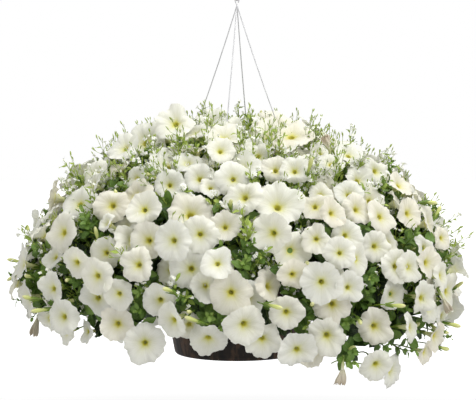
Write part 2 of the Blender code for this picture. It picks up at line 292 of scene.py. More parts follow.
class Growth:
    """Patches gathered into one mesh object."""

    def __init__(self):
        self.patches, self.tints = [], []

    def add(self, patches, matrix=None, tint=0.0):
        """Adds patches, moved by a matrix, with tint as the fourth paint value of all their points."""
        for patch in patches:
            self.patches.append(patch.moved(matrix) if matrix is not None else patch)
            self.tints.append(tint)

    def build(self, name, slot, *nodes):
        """The mesh object, riding on the basket in the place of some CAD nodes."""
        used = [finish for finish in FINISHES if any(p.finish == finish for p in self.patches)]
        counts = [len(patch.points) for patch in self.patches]
        starts = np.cumsum([0] + counts[:-1])
        points = np.concatenate([patch.points for patch in self.patches])
        faces = np.concatenate([patch.faces + start for patch, start in zip(self.patches, starts)])
        slots = np.concatenate([np.full(len(p.faces), used.index(p.finish)) for p in self.patches])
        paint = np.concatenate([patch.paint for patch in self.patches])
        paint = np.column_stack([paint, np.repeat(self.tints, counts)])

        mesh = bpy.data.meshes.new(name)
        mesh.vertices.add(len(points))
        mesh.vertices.foreach_set("co", points.astype(np.float32).ravel())
        mesh.loops.add(faces.size)
        mesh.loops.foreach_set("vertex_index", faces.astype(np.int32).ravel())
        mesh.polygons.add(len(faces))
        mesh.polygons.foreach_set("loop_start", np.arange(0, faces.size, 4, dtype=np.int32))
        mesh.polygons.foreach_set("material_index", slots.astype(np.int32))
        mesh.polygons.foreach_set("use_smooth", np.ones(len(faces), dtype=bool))
        mesh.update(calc_edges=True)
        layer = mesh.attributes.new("paint", "FLOAT_COLOR", "POINT")
        layer.data.foreach_set("color", paint.astype(np.float32).ravel())
        for finish in used:
            mesh.materials.append(FINISHES[finish])
        piece = new_object(name, mesh)
        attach(piece, "basket")
        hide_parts(*nodes)


# -------- petunia shapes

LOBES = 5
BLOOM_R = 27 * MM
THROAT_R = 3.8 * MM
LIMB_RISE = 7 * MM
TUBE_LENGTH = 28 * MM
LIMB_COLUMNS = 72
LIMB_ROWS = 12
# Ripples of a limb's edge, as wave counts with heights: outwards in radii, and up in mm.
EDGE_WAVES = ((4, 0.02), (7, 0.024), (11, 0.022), (17, 0.02), (27, 0.018))
RUFFLES = ((2, 2.6), (3, 2.0), (5, 1.2), (7, 0.9), (10, 0.7), (15, 0.6), (22, 0.5))


def waves(rng, angle, table):
    """Ripples round a limb, from pairs of a wave count and a height."""
    total = 0
    for count, height in table:
        total = total + height * rng.uniform(0.5, 1.2) * np.sin(count * angle + rng.uniform(0, TAU))
    return total


def ribs_of(angle):
    """0 at each of the five seams and 1 on the ribs between them."""
    return np.abs(np.sin(LOBES * angle / 2))


def limb(rng, spread, rise):
    """The flared face of a bloom, as rings out from its throat, with creases between puffed petals."""
    angle = full_turn(LIMB_COLUMNS)
    lobe = angle / TAU * LOBES
    phase = lobe % 1
    sizes = np.array([rng.uniform(0.90, 1.08) for _ in range(LOBES)])[lobe.astype(int) % LOBES]
    arch = np.sin(np.pi * phase)
    outline = 1 - rng.uniform(0.06, 0.18) * (1 - arch**0.6)
    outline *= 1 + (sizes - 1) * arch
    outline = outline + waves(rng, angle, EDGE_WAVES)

    u = np.linspace(0, 1, LIMB_ROWS)[:, None] ** 0.9
    height = rise * (1 - (1 - u) ** rng.uniform(1.4, 2.2)) - rng.uniform(0, 5) * MM * u**4
    creases = np.abs(np.sin(TAU * phase)) ** 0.7
    height = height + rng.uniform(0.3, 0.8) * MM * creases * u * (1.3 - u) * 2
    height = height + MM * waves(rng, angle, RUFFLES) * u**2.8
    apart = (angle - rng.uniform(0, TAU) + np.pi) % TAU - np.pi
    fold = rng.choice((0, 0, 5, 9, 12)) * MM * np.exp(-((apart / 0.55) ** 2))
    height = height - fold * u**2.6
    radius = THROAT_R + (BLOOM_R * spread * outline - THROAT_R - fold * 0.5) * u
    middle = 1 - np.abs(2 * phase - 1)
    return sheet(rings(radius, angle, height), 0.2 + 0.8 * u, middle, "petal", closed=True)


def bloom_shape(rng, spread=1.0, rise=LIMB_RISE):
    """An open petunia facing +Z: limb, throat, tube, sepals and anthers. Its throat is the origin."""
    angle = full_turn(LIMB_COLUMNS)
    middle = 1 - np.abs(2 * (angle / TAU * LOBES % 1) - 1)
    depth = column(0, 1.2, 3, 5) * MM
    inner = column(1, 0.88, 0.68, 0.32) * THROAT_R
    along = column(0.2, 0.13, 0.06, 0)
    patches = [
        limb(rng, spread, rise * rng.uniform(0.8, 1.3)),
        sheet(rings(inner, angle, -depth), along, middle, "petal", closed=True),
    ]

    turn = full_turn(16)
    outer = column(8.5, 6.2, 5.0, 3.9, 2.9, 2.2, 1.8) * MM * (1 + 0.06 * np.cos(LOBES * turn))
    z = column(0.5, -1.2, -3.5, -9, -16, -24, -28) * MM
    along = np.linspace(1, 0, 7)[:, None]
    patches.append(sheet(rings(outer, turn, z), along, ribs_of(turn), "tube", closed=True))
    return patches + sepals(rng, -TUBE_LENGTH) + anthers(rng)


def sepals(rng, base_z):
    """Five narrow sepals round the base of a tube."""
    patches = []
    for k in range(LOBES):
        length = rng.uniform(11, 16) * MM
        spread = rng.uniform(1.5, 6) * MM
        rows = []
        for t, half in ((0, 0.6), (0.25, 1.3), (0.6, 1.5), (0.85, 1.0), (1, 0.15)):
            out = 2.1 * MM + spread * t**1.6
            z = base_z + length * t
            rows.append([(out + abs(s) * 0.3 * MM, s * half * MM, z) for s in (-1, 0, 1)])
        points = np.array(rows) @ turned(TAU * (k + 0.5) / LOBES + rng.uniform(-0.15, 0.15))
        patches.append(sheet(points, 0.4, np.linspace(0, 1, 5)[:, None], "green"))
    return patches


def anthers(rng):
    """Five small anthers round a stigma, just inside the throat."""
    patches = []
    for k in range(LOBES + 1):
        middle = k == LOBES
        out = 0 if middle else 1.5 * MM
        top = -1.5 * MM if middle else -rng.uniform(2.2, 3.8) * MM
        x, y = out * math.cos(TAU * k / LOBES), out * math.sin(TAU * k / LOBES)
        path = [(x, y, top - drop * MM) for drop in (2.0, 1.3, 0.5, 0)]
        patches.append(tube(path, [r * MM for r in (0.15, 0.65, 0.6, 0.1)], 5, "anther"))
    return patches


def spent_bloom_shape(rng):
    """A withered bloom along +Z: its limb has gone limp and hangs shut in crumpled folds."""
    angle = full_turn(36)
    t = np.linspace(0, 1, 12)[:, None]
    wide = (3.2 + 9.5 * t**0.8 - 4.0 * t**4) * MM
    folds = 1 + (0.10 + 0.34 * t) * np.sin(LOBES * angle + 2.5 * t) + 0.12 * t * np.sin(13 * angle)
    lean = rng.uniform(4, 9) * MM * t**2
    z = (2 + rng.uniform(26, 36) * t) * MM + 2.5 * MM * t * np.sin(7 * angle + rng.uniform(0, TAU))
    points = rings(wide * folds, angle, z, lean, flatten=0.6)
    base = [(0, 0, z * MM) for z in (-24, -16, -8, 0, 4)]
    patches = [
        sheet(points, t, ribs_of(angle), "spent", closed=True),
        tube(base, [r * MM for r in (1.8, 2.1, 2.7, 3.1, 3.3)], 12, "tube"),
    ]
    return patches + sepals(rng, -24 * MM)


def bud_shape(rng):
    """A closed bud along +Z, a little curved, with its folded petals wound round it."""
    length = rng.uniform(20, 36) * MM
    lean = rng.uniform(-5, 5) * MM
    turn = full_turn(14)
    t = column(0, 0.2, 0.45, 0.68, 0.84, 0.94, 1)
    wide = column(1.6, 1.8, 2.2, 3.1, 2.9, 1.9, 0.4) * MM
    wide = wide * (1 + 0.10 * np.minimum(t * 2, 1) * np.sin(LOBES * turn + 3 * t))
    points = rings(wide, turn, length * t, lean * t**2)
    return [sheet(points, t, ribs_of(turn), "bud", closed=True)] + sepals(rng, -1 * MM)


def leaf(rng, length, narrow=1.0, finish="leaf", age=0.5):
    """An ovate leaf along +X from its stalk, face up, cupped along its midrib and wavy at its edge."""
    along = column(0, 0.06, 0.18, 0.34, 0.50, 0.66, 0.82, 0.93, 1.0)
    half = column(0.06, 0.12, 0.66, 0.95, 1.0, 0.90, 0.66, 0.40, 0.05)
    across = np.array([-1, -0.55, 0, 0.55, 1])
    half = half * length * narrow * rng.uniform(0.27, 0.36)
    x = length * along * np.ones_like(across)
    y = half * across
    z = rng.uniform(0.10, 0.35) * np.abs(y) - rng.uniform(0.05, 0.40) * length * along**2
    z = z + 0.05 * length * np.sin(9 * along + rng.uniform(0, TAU)) * across * np.abs(across)
    return sheet(np.stack([x, y, z], axis=2), along, np.abs(across), finish, age=age)


# The turn in radians from one leaf to the next up a stem.
SPIRAL = 2.4
SHOOT_LEAVES = 11


def aside(rng, amount, z):
    """A point at a height z, up to an amount in mm off the Z axis each way."""
    return Vector((rng.uniform(-amount, amount) * MM, rng.uniform(-amount, amount) * MM, z))


def shoot_shape(rng):
    """A leafy shoot along +Z, with its leaves in a spiral and its youngest ones in a tuft."""
    length = rng.uniform(45, 70) * MM
    bend = aside(rng, 14, length * 0.5)
    start, end = Vector((0, 0, 0)), Vector((0, 0, length))
    patches = [tube(bowed(start, bend, end, 7), tapered(1.6 * MM, 0.6 * MM, 7), 6, "green")]
    for i in range(SHOOT_LEAVES):
        share = 0.15 + 0.85 * i / (SHOOT_LEAVES - 1)
        size = (22 - 13 * share**1.5) * MM * rng.uniform(0.8, 1.2)
        lift = math.radians(5 + 55 * share + rng.uniform(-15, 15))
        place = Matrix.Translation(bow(start, bend, end, share))
        place = place @ Matrix.Rotation(SPIRAL * i, 4, "Z") @ Matrix.Rotation(-lift, 4, "Y")
        patches.append(leaf(rng, size, age=share).moved(place))
    return patches


# -------- filler shapes


def tiny_flower(rng, size):
    """A small flower facing +Z with five rounded petals, the first three the larger."""
    patches = []
    for k in range(LOBES):
        length = size * (1.0 if k < 3 else 0.7) * rng.uniform(0.9, 1.1)
        rows = []
        for t, half in ((0.10, 0.10), (0.45, 0.36), (0.82, 0.34), (1, 0.12)):
            z = size * (0.25 * t - 0.3 * t * t)
            rows.append([(length * t, s * half * length, z) for s in (-1, 0, 1)])
        points = np.array(rows) @ turned(TAU * k / LOBES)
        patches.append(sheet(points, column(0.1, 0.45, 0.82, 1), 0.5, "filler_petal"))
    return patches


def slim_bud(rng, place):
    length = rng.uniform(5, 9) * MM
    path = [(0, 0, length * t) for t in (0, 0.3, 0.65, 1)]
    return tube(path, [r * MM for r in (0.45, 0.95, 0.85, 0.1)], 6, "sprig", age=0.9).moved(place)


def jitter(rng, amount):
    return Vector([rng.uniform(-amount, amount) for _ in range(3)])


def sprig_shape(rng, bloom_share):
    """A fine sprig along +Z, with forked side shoots that end in small flowers or slim buds.

    Returns its green patches and its flowers' patches.
    """
    length = rng.uniform(60, 95) * MM
    start, end = Vector((0, 0, 0)), aside(rng, 10, length)
    bend = aside(rng, 16, length * 0.55)
    greens = [tube(bowed(start, bend, end, 7), tapered(0.8 * MM, 0.4 * MM, 7), 5, "sprig", age=0.4)]
    flowers = []
    count = rng.randint(5, 7)
    for i in range(count + 1):
        share = 0.42 + 0.58 * i / count
        at = bow(start, bend, end, share)
        spread = math.radians(rng.uniform(18, 48)) * (i < count)
        lean = Matrix.Rotation(SPIRAL * i + rng.uniform(-0.4, 0.4), 3, "Z")
        lean = lean @ Matrix.Rotation(spread, 3, "Y")
        fork = at + (lean @ UP) * rng.uniform(7, 16) * MM
        side_shoot = bowed(at, at.lerp(fork, 0.6), fork, 3)
        greens.append(tube(side_shoot, [0.38 * MM] * 3, 4, "sprig", age=0.6))
        for _ in range(rng.randint(2, 3)):
            ahead = ((fork - at).normalized() + UP * 0.3 + jitter(rng, 0.45)).normalized()
            tip = fork + ahead * rng.uniform(3, 8) * MM
            greens.append(tube([fork, tip], [0.3 * MM] * 2, 4, "sprig", age=0.7))
            if rng.random() < bloom_share:
                place = facing(tip, (ahead + jitter(rng, 0.8)).normalized(), rng.uniform(0, TAU))
                petals = tiny_flower(rng, rng.uniform(2.8, 4.4) * MM)
                flowers += [patch.moved(place) for patch in petals]
            else:
                greens.append(slim_bud(rng, facing(tip, ahead, 0)))
        blade = leaf(rng, rng.uniform(9, 16) * MM, 0.6, "sprig", age=share * 0.6)
        turn = Matrix.Rotation(SPIRAL * i + 1, 4, "Z") @ Matrix.Rotation(-rng.uniform(0.5, 1.1), 4, "Y")
        greens.append(blade.moved(Matrix.Translation(at) @ turn))
    return greens, flowers


# -------- materials


class Nodes:
    """A node tree being wired. A value is a number, a colour or another node's output."""

    def __init__(self, tree):
        self.tree = tree

    def node(self, kind):
        return self.tree.nodes.new(f"ShaderNode{kind}")

    def feed(self, socket, value):
        if isinstance(value, (int, float)):
            socket.default_value = value
        elif isinstance(value, tuple):
            socket.default_value = (*value, 1)
        else:
            self.tree.links.new(value, socket)

    def maths(self, operation, *values):
        made = self.node("Math")
        made.operation = operation
        for socket, value in zip(made.inputs, values):
            self.feed(socket, value)
        return made.outputs["Value"]

    def times(self, first, second):
        return self.maths("MULTIPLY", first, second)

    def plus(self, first, second):
        return self.maths("ADD", first, second)

    def minus(self, first, second):
        return self.maths("SUBTRACT", first, second)

    def larger(self, first, second):
        return self.maths("MAXIMUM", first, second)

    def mixed(self, factor, first, second, blend="MIX"):
        made = self.node("Mix")
        made.data_type = "RGBA"
        made.blend_type = blend
        for index, value in ((0, factor), (6, first), (7, second)):
            self.feed(made.inputs[index], value)
        return made.outputs[2]

    def stained(self, colour, pattern, amount, stain):
        """A colour with some of another wherever a pattern is strong."""
        return self.mixed(self.times(pattern, amount), colour, stain)

    def ramp(self, factor, *stops):
        """A colour ramp read at a factor. Each stop is (position, (r, g, b))."""
        made = self.node("ValToRGB")
        elements = made.color_ramp.elements
        while len(elements) < len(stops):
            elements.new(0.5)
        for element, (position, colour) in zip(elements, stops):
            element.position = position
            element.color = (*colour, 1)
        self.feed(made.inputs["Fac"], factor)
        return made.outputs["Color"]

    def speckle(self, scale, detail=3.0, stretch=(1, 1, 1), over=None):
        """Noise over the object, or over another vector, stretched along its axes."""
        texture = self.node("TexNoise")
        texture.inputs["Scale"].default_value = scale
        texture.inputs["Detail"].default_value = detail
        mapping = self.node("Mapping")
        mapping.inputs["Scale"].default_value = stretch
        self.feed(mapping.inputs["Vector"], over or self.node("TexCoord").outputs["Object"])
        self.feed(texture.inputs["Vector"], mapping.outputs["Vector"])
        return texture.outputs["Fac"]


class Recipe(Nodes):
    """A material being made round its main shader."""

    def __init__(self, name, roughness):
        self.material = bpy.data.materials.new(name)
        self.material.use_nodes = True
        super().__init__(self.material.node_tree)
        self.shader = self.tree.nodes["Principled BSDF"]
        self.put("Roughness", roughness)

    def put(self, name, value):
        self.feed(self.shader.inputs[name], value)

    def finish(self, colour, height, distance, strength, through=0):
        """The material, with a colour, a bump and a share of the light let through."""
        bump = self.node("Bump")
        for name, value in (("Strength", strength), ("Distance", distance), ("Height", height)):
            self.feed(bump.inputs[name], value)
        self.put("Normal", bump.outputs["Normal"])
        self.put("Base Color", colour)
        if through:
            behind = self.node("BsdfTranslucent")
            self.feed(behind.inputs["Color"], colour)
            self.feed(behind.inputs["Normal"], bump.outputs["Normal"])
            both = self.node("MixShader")
            self.feed(both.inputs["Fac"], through)
            self.feed(both.inputs[1], self.shader.outputs["BSDF"])
            self.feed(both.inputs[2], behind.outputs["BSDF"])
            self.feed(self.tree.nodes["Material Output"].inputs["Surface"], both.outputs["Shader"])
        return self.material


class GrowthRecipe(Recipe):
    """A material of the growth, which reads the paint values of its mesh."""

    def __init__(self, name, roughness):
        super().__init__(name, roughness)
        attribute = self.node("Attribute")
        attribute.attribute_name = "paint"
        self.paint, self.tint = attribute.outputs["Vector"], attribute.outputs["Alpha"]
        split = self.node("SeparateXYZ")
        self.feed(split.inputs["Vector"], self.paint)
        self.along, self.across, self.age = [split.outputs[axis] for axis in "XYZ"]

    def youth(self, tint_share):
        return self.plus(self.times(self.tint, tint_share), self.times(self.age, 1 - tint_share))


def petal_material():
    """White petals: an olive and yellow-green throat, faint veins, painted shade along their midribs
    and seams, and a warm or cool cast each.
    """
    made = GrowthRecipe("white_petal", 0.6)
    made.put("Sheen Weight", 0.12)
    middle = made.across
    reach = made.plus(made.along, made.times(middle, -0.05))
    reach = made.plus(reach, made.times(made.tint, 0.05))
    colour = made.ramp(
        reach,
        (0.00, (0.64, 0.60, 0.06)),
        (0.12, (0.74, 0.70, 0.095)),
        (0.20, (0.78, 0.75, 0.19)),
        (0.25, (0.80, 0.79, 0.38)),
        (0.32, (0.835, 0.828, 0.56)),
        (0.43, (0.875, 0.868, 0.71)),
        (0.65, (0.90, 0.893, 0.80)),
        (1.00, (0.905, 0.898, 0.83)),
    )
    veins = made.speckle(1.0, 3.0, (3.0, 24.0, 1.0), made.paint)
    shade = made.ramp(veins, (0.30, (0.86, 0.85, 0.80)), (0.60, (1, 1, 1)))
    colour = made.mixed(0.6, colour, shade, "MULTIPLY")
    # Painted shade: a grey-cream darkening along each petal's midrib and seam, where the limb is
    # creased, strongest near the throat.
    ridge = made.minus(1.0, made.times(made.minus(1.0, middle), 9.0))
    seam = made.minus(1.0, made.times(middle, 12.0))
    painted_crease_shade = made.larger(made.larger(ridge, seam), 0.0)
    painted_crease_shade = made.times(painted_crease_shade, made.minus(1.15, made.along))
    colour = made.stained(colour, painted_crease_shade, 0.30, (0.66, 0.66, 0.50))
    cast = made.ramp(made.tint, (0, (1, 0.955, 0.89)), (0.4, (1, 1, 0.98)), (1, (0.965, 0.975, 0.99)))
    return made.finish(made.mixed(0.8, colour, cast, "MULTIPLY"), veins, 0.7 * MM, 0.6, through=0.32)


def tube_material():
    """The ribbed outside of a bloom's tube, green at its base and cream where it flares."""
    made = GrowthRecipe("bloom_tube", 0.55)
    colour = made.ramp(
        made.along,
        (0.0, (0.33, 0.42, 0.10)),
        (0.35, (0.64, 0.67, 0.28)),
        (0.75, (0.82, 0.81, 0.55)),
        (1.0, (0.89, 0.88, 0.76)),
    )
    veins = made.speckle(1.0, 2.0, (2.0, 14.0, 1.0), made.paint)
    colour = made.stained(colour, veins, 0.22, (0.45, 0.52, 0.18))
    return made.finish(colour, veins, 0.4 * MM, 0.5, through=0.25)


def spent_material():
    """Petals gone limp, cream to fawn, browner at their edges."""
    made = GrowthRecipe("spent_petal", 0.8)
    colour = made.ramp(
        made.along, (0, (0.78, 0.76, 0.55)), (0.5, (0.76, 0.71, 0.58)), (1, (0.60, 0.52, 0.40))
    )
    blotches = made.speckle(140.0, 4.0)
    colour = made.stained(colour, blotches, 0.3, (0.34, 0.27, 0.18))
    return made.finish(colour, blotches, 0.8 * MM, 0.7, through=0.25)


def bud_material():
    """Yellow-green buds with paler ridges where the folded petals show."""
    made = GrowthRecipe("bud", 0.5)
    colour = made.ramp(
        made.along,
        (0.0, (0.22, 0.35, 0.06)),
        (0.35, (0.46, 0.55, 0.10)),
        (0.75, (0.64, 0.68, 0.20)),
        (1.0, (0.75, 0.74, 0.38)),
    )
    ridges = made.maths("POWER", made.across, 2.0)
    colour = made.stained(colour, ridges, 0.35, (0.78, 0.79, 0.48))
    fine = made.speckle(1.0, 2.0, (4.0, 20.0, 1.0), made.paint)
    return made.finish(colour, fine, 0.4 * MM, 0.4, through=0.15)


def leaf_material():
    """Petunia leaves: older ones dark and the inner ones near black as painted shade, the youngest
    yellow-green, with a pale midrib and veins.
    """
    made = GrowthRecipe("leaf", 0.5)
    base = made.ramp(
        made.youth(0.5),
        # The darkest stops are painted shade, read by the inner leaves.
        (0.0, (0.012, 0.032, 0.005)),
        (0.2, (0.055, 0.125, 0.016)),
        (0.55, (0.16, 0.285, 0.04)),
        (1.0, (0.39, 0.53, 0.11)),
    )
    rib = made.larger(made.minus(1.0, made.times(made.across, 7.0)), 0.0)
    slant = made.minus(made.along, made.times(made.across, 0.28))
    side_veins = made.larger(made.maths("SINE", made.times(slant, 46.0)), 0.0)
    veins = made.larger(rib, made.times(made.maths("POWER", side_veins, 6.0), 0.5))
    colour = made.stained(base, veins, 0.7, made.mixed(0.5, base, (0.34, 0.46, 0.15)))
    mottle = made.speckle(180.0)
    colour = made.stained(colour, mottle, 0.45, made.mixed(0.6, base, (0.010, 0.025, 0.006)))
    return made.finish(colour, made.minus(mottle, veins), 0.5 * MM, 0.6, through=0.25)


def green_material(name, old, young, roughness, scale):
    """A green with fine variation, for stems, sepals and sprigs."""
    made = GrowthRecipe(name, roughness)
    grain = made.speckle(scale)
    colour = made.ramp(made.youth(0.4), (0.0, old), (1.0, young))
    colour = made.stained(colour, grain, 0.45, tuple(c * 0.5 for c in old))
    return made.finish(colour, grain, 0.3 * MM, 0.5, through=0.12)


def filler_petal_material():
    """Tiny pure white petals with a yellow-green eye."""
    made = GrowthRecipe("filler_petal", 0.6)
    made.put("Sheen Weight", 0.1)
    colour = made.ramp(
        made.along, (0, (0.70, 0.72, 0.30)), (0.3, (0.90, 0.90, 0.82)), (1, (0.93, 0.93, 0.91))
    )
    grain = made.speckle(600.0, 2.0)
    colour = made.stained(colour, grain, 0.1, (0.75, 0.78, 0.7))
    return made.finish(colour, grain, 0.2 * MM, 0.4, through=0.3)


def anther_material():
    """Dusty olive-yellow pollen."""
    made = Recipe("anther", 0.7)
    grain = made.speckle(900.0, 2.0)
    colour = made.ramp(grain, (0.3, (0.34, 0.31, 0.05)), (0.7, (0.60, 0.56, 0.16)))
    return made.finish(colour, grain, 0.2 * MM, 0.5)


def wire_material(name, dark, light, metallic):
    """Zinc-coated wire: a soft grey with a fine spangle and duller patches."""
    made = Recipe(name, 0.5)
    made.put("Metallic", metallic)
    spangle = made.speckle(900.0, 2.0)
    made.put("Roughness", made.plus(made.times(spangle, 0.3), 0.35))
    colour = made.ramp(made.speckle(90.0, 4.0), (0.3, dark), (0.7, light))
    return made.finish(colour, spangle, 0.1 * MM, 0.4)


def pot_material():
    """Dark brown moulded plastic, mottled and streaked down its wall, with fine grain."""
    made = Recipe("brown_plastic", 0.6)
    made.put("Specular IOR Level", 0.22)
    streaks = made.speckle(60.0, 5.0, (1.0, 1.0, 0.22))
    blotches = made.speckle(75.0, 4.0)
    both = made.plus(made.times(streaks, 0.7), made.times(blotches, 0.3))
    colour = made.ramp(
        both,
        (0.38, (0.004, 0.0028, 0.002)),
        (0.50, (0.013, 0.008, 0.005)),
        (0.60, (0.062, 0.034, 0.019)),
    )
    made.put("Roughness", made.plus(made.times(blotches, 0.25), 0.45))
    return made.finish(colour, made.plus(made.speckle(700.0), both), 0.4 * MM, 0.5)


def medium_material():
    """Moist peat and bark, with paler fibres."""
    made = Recipe("peat_mix", 0.95)
    crumbs = made.speckle(160.0, 6.0)
    fibres = made.speckle(60.0, 4.0, (1.0, 4.0, 1.0))
    colour = made.ramp(
        crumbs,
        (0.35, (0.008, 0.005, 0.003)),
        (0.6, (0.035, 0.021, 0.012)),
        (0.75, (0.10, 0.065, 0.036)),
    )
    colour = made.stained(colour, fibres, 0.3, (0.06, 0.036, 0.018))
    return made.finish(colour, crumbs, 2.5 * MM, 1.0)


FINISHES = {
    "petal": petal_material(),
    "tube": tube_material(),
    "spent": spent_material(),
    "bud": bud_material(),
    "leaf": leaf_material(),
    "green": green_material("green_stem", (0.105, 0.20, 0.015), (0.33, 0.47, 0.05), 0.55, 260.0),
    "sprig": green_material("sprig_green", (0.16, 0.265, 0.025), (0.50, 0.61, 0.115), 0.6, 420.0),
    "filler_petal": filler_petal_material(),
    "anther": anther_material(),
}

# -------- setting out the growth


def rise_at(out):
    """How far a bloom's limb stands before its throat, at a share of the way out to its edge."""
    return LIMB_RISE * (1 - (1 - np.minimum(out, 1)) ** 2.2)


def dish_points():
    """Points over a bloom's limb, enough to tell whether it passes through another."""
    points = []
    for out in (0.15, 0.4, 0.7, 1.0):
        radius = BLOOM_R * out
        points += [(radius * math.cos(t), radius * math.sin(t), rise_at(out)) for t in full_turn(20)]
    return np.array(points)


DISH_POINTS = dish_points()


# How far before and behind a dish counts, and how much of its radius does.
DISH_DEPTH = 28 * MM
DISH_WIDTH = 0.94


class Dish:
    """The limb of a bloom that has been set out, as a dish that other growth keeps clear of."""

    def __init__(self, matrix, radius):
        self.centre = np.array(matrix.translation)
        self.axes = np.array(matrix.to_3x3().normalized())
        self.radius = radius
        self.points = moved_points(DISH_POINTS, matrix)

    def is_cut_by(self, points, width):
        """True if a cloud of points passes from behind the dish to before it."""
        local = (points - self.centre) @ self.axes
        out = np.hypot(local[:, 0], local[:, 1]) / self.radius
        height = (local[:, 2] - rise_at(out))[out < width]
        before = (height > 0) & (height < DISH_DEPTH)
        behind = (height < 0) & (height > -DISH_DEPTH)
        return before.any() and behind.any()


class Bed(list):
    """The dishes of all the blooms set out so far."""

    def near(self, centre, reach):
        """The dishes whose centres are within reach of a point."""
        centres = np.array([dish.centre for dish in self]).reshape(-1, 3)
        return [self[i] for i in np.flatnonzero(np.linalg.norm(centres - centre, axis=1) < reach)]

    def crossings(self, points, width=DISH_WIDTH):
        """How many dishes a cloud of points passes through."""
        centre = points.mean(axis=0)
        reach = np.linalg.norm(points - centre, axis=1).max() + 2 * BLOOM_R
        return sum(dish.is_cut_by(points, width) for dish in self.near(centre, reach))

    def clashes(self, new):
        """How many dishes a new one would pass through, and how many would pass through it."""
        through_it = [new.is_cut_by(dish.points, 1.0) for dish in self.near(new.centre, 3 * BLOOM_R)]
        return self.crossings(new.points) + sum(through_it)


GROWING = random.Random(11)
TRIES_EACH = 150


def wander(amount):
    """A small random vector."""
    return Vector([GROWING.gauss(0, amount) for _ in range(3)])


def between(low, high):
    return GROWING.uniform(low, high)


def spread_over(count, spacing, weight=lambda angle, down: 1, taken=()):
    """Places over the canopy, as (angle, down), no two closer than spacing, nor to those taken.

    weight thins them out.
    """
    found = []
    points = [np.array(canopy_point(*place)) for place in taken]
    for _ in range(count * TRIES_EACH):
        if len(found) == count:
            break
        angle, down = between(0, TAU), GROWING.random()
        point = canopy_point(angle, down)
        share = math.hypot(point.x / CANOPY_RX, point.y / CANOPY_RY)
        if GROWING.random() > share * weight(angle, down):
            continue
        if points and (((np.array(points) - point) ** 2).sum(axis=1) < spacing**2).any():
            continue
        points.append(np.array(point))
        found.append((angle, down))
    return found


# Blooms that the front is composed of: across and up in mm, width in mm, and where the bloom
# faces, in degrees to the right of straight ahead and upwards.
FRONT_BLOOMS = [
    (-70, -405, 70, 0, 28), (-58, -440, 54, 0, 6), (-15, -430, 46, -5, 25), (10, -390, 58, -24, 25),
    (70, -405, 72, 4, 28), (57, -443, 58, -20, 2), (77, -465, 58, 24, 4), (116, -453, 44, 0, 10),
    (-96, -457, 57, -22, 6), (-144, -448, 54, -15, 6), (-66, -509, 62, 0, 2),
    (-30, -496, 48, 0, 25), (-50, -530, 45, -4, 0), (-14, -527, 62, 0, 0), (12, -545, 50, 20, 4),
    (53, -534, 52, 48, 10), (82, -510, 46, 4, -4), (131, -521, 60, -4, -4), (148, -512, 32, 8, 10),
    (-123, -550, 52, -8, -14), (-180, -544, 46, -16, -4), (-190, -587, 52, -14, 0),
    (-142, -620, 62, -4, 0), (-45, -612, 58, -2, -32), (5, -583, 60, 22, -4),
    (35, -610, 54, 4, -20), (86, -623, 57, 8, -14), (76, -573, 52, 10, -12), (136, -607, 58, 6, -4),
    (-197, -400, 56, -20, 18), (-143, -409, 52, -10, 22), (-254, -397, 57, -34, 26),
    (-278, -451, 60, -40, 10), (-348, -510, 44, -66, 8), (-247, -498, 46, -30, 4),
    (-209, -466, 50, -24, 10), (-153, -494, 51, -16, 6), (-210, -514, 52, -26, 0),
    (-290, -534, 48, -42, 0), (-218, -553, 58, -22, -4), (-259, -584, 54, -30, -6),
    (-346, -572, 54, -60, -10), (142, -378, 40, 14, 30), (140, -419, 44, 30, 14),
    (190, -412, 46, 28, 20), (243, -458, 42, 30, 14), (245, -495, 53, 30, 4),
    (188, -489, 46, 56, 6), (149, -561, 55, 10, -6), (221, -600, 56, 24, -4),
    (259, -600, 46, 62, 0), (207, -646, 50, 24, -18), (308, -574, 46, 52, 0),
    (314, -521, 44, 54, 6), (262, -374, 44, 44, 40), (185, -330, 50, 20, 50),
    (151, -336, 42, 0, 50), (-187, -318, 56, -40, 40), (-77, -332, 48, -10, 48),
    (297, -640, 40, 60, -10), (-101, -290, 62, -15, 34), (-55, -274, 62, 6, 30),
    (-20, -274, 54, -6, 36), (63, -276, 66, 6, 26), (108, -282, 66, 18, 34),
    (-150, -302, 70, -24, 28), (40, -322, 42, 0, 30), (-20, -330, 44, 10, 30),
    (170, -450, 50, 20, 14), (222, -425, 50, 34, 16), (275, -420, 48, 46, 16),
    (296, -468, 50, 44, 10), (332, -555, 46, 66, 0), (172, -523, 46, 20, 4), (282, -548, 50, 40, 0),
    (182, -376, 48, 10, 30), (225, -382, 48, 34, 24), (335, -590, 44, 60, -8),
    (268, -505, 46, 34, 4), (318, -620, 44, 50, -10), (130, -400, 46, 4, 24),
    (218, -468, 50, 24, 8), (252, -548, 46, 40, 0), (290, -505, 48, 44, 6), (160, -484, 46, 8, 8),
    (345, -520, 44, 64, 4), (255, -345, 50, 40, 26), (200, -352, 52, 26, 30), (60, -345, 46, 4, 28),
    (-60, -352, 48, -4, 26), (-99, -584, 52, -50, -20), (-72, -602, 46, 10, -30),
    (232, -350, 50, 40, 24), (-235, -352, 54, -40, 20), (92, -352, 46, -10, 26),
    (-115, -362, 48, 10, 20),
]
# Leafy shoots that fill the gaps between those blooms: across and up in mm.
FRONT_SHOOTS = [
    (-80, -527), (-36, -580), (-22, -600), (100, -419), (110, -484), (230, -538), (-258, -536),
    (-146, -583), (172, -649), (329, -629), (-65, -473), (10, -474), (259, -635), (-193, -486),
    (-47, -547), (-228, -425), (-36, -596), (180, -640),
]
FRONT_SCALE = 1.1
HEM_ROOM = 10 * MM
BLOOM_TRIES = 40
CLUMPING = 13.0
CUPPED_SPREAD, CUPPED_RISE = 0.8, 15 * MM
# How deep in the canopy a bloom's throat sits: a listed one's, a natural one's, a second layer's.
FRONT_SINKS = (3 * MM, 26 * MM)
NATURAL_SINKS = (12 * MM, 42 * MM)
DEEP_SINKS = (34 * MM, 48 * MM)
